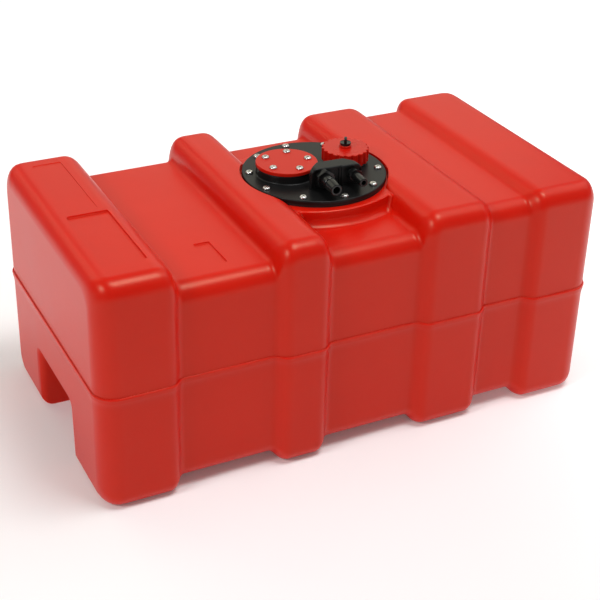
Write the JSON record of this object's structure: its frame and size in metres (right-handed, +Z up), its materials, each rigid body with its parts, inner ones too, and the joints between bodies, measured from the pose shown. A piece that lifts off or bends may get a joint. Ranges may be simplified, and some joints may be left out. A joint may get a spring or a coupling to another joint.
{
  "type": "fixed fuel tank",
  "caption": "Lobed red plastic fuel tank for fixing in a boat, with a bolted flange plate that carries a vented filler cap, a sender cover and two hose tails",
  "frame": {"origin": "on the floor under the middle of the tank body, at the centre of the whole object's box", "axes": "+Z up, +X along the tank's length, front at -Y with the hose tails"},
  "size_m": [0.654, 0.354, 0.3236],
  "materials": {
    "tank_red": "satin moulded polyethylene, through-coloured red",
    "cover_red": "smooth moulded plastic, red",
    "cap_red": "smooth moulded plastic, red",
    "fitting_black": "satin glass-filled nylon, black",
    "tail_black": "satin moulded nylon, black",
    "tube_black": "smooth extruded plastic, black",
    "seal_rubber": "matt nitrile rubber",
    "screw_steel": "bright stainless steel",
    "insert_brass": "turned brass",
    "gauze_steel": "woven stainless steel gauze"
  },
  "bodies": {
    "tank": {"tank_shell": "tank_red", "flange_inserts": "insert_brass", "flange_gasket": "seal_rubber", "flange_plate": "fitting_black", "flange_screws": "screw_steel", "sender_gasket": "seal_rubber", "sender_inserts": "insert_brass", "sender_cover": "cover_red", "sender_screws": "screw_steel", "vent_tail_seal": "seal_rubber", "vent_hose_tail": "tail_black", "fuel_tail_seal": "seal_rubber", "fuel_hose_tail": "tail_black", "pickup_tube": "tube_black", "strainer_body": "tube_black", "strainer_gauze": "gauze_steel"},
    "cap_seal": {"cap_seal": "seal_rubber"},
    "filler_cap": {"filler_cap": "cap_red"},
    "vent_seal": {"vent_seal": "seal_rubber"},
    "vent_knob": {"vent_knob": "tail_black", "vent_clip": "screw_steel"}
  },
  "joints": [
    {"name": "cap_rise", "type": "slide", "parent": "tank", "child": "cap_seal", "axis": [0, 0, 1], "range_m": [0, 0.012]},
    {"name": "cap_turn", "type": "hinge", "parent": "cap_seal", "child": "filler_cap", "pos_m": [0.06521, 0.00899, 0.3], "axis": [0, 0, 1], "range_deg": [0, 720]},
    {"name": "vent_rise", "type": "slide", "parent": "filler_cap", "child": "vent_seal", "axis": [0, 0, 1], "range_m": [0, 0.0022]},
    {"name": "vent_turn", "type": "hinge", "parent": "vent_seal", "child": "vent_knob", "pos_m": [0.06521, 0.00899, 0.3], "axis": [0, 0, 1], "range_deg": [0, 540]}
  ],
  "couplings": [
    {"joint": "cap_turn", "follows": "cap_rise", "rad_per_m": 1047.1},
    {"joint": "vent_turn", "follows": "vent_rise", "rad_per_m": 4283.6}
  ]
}
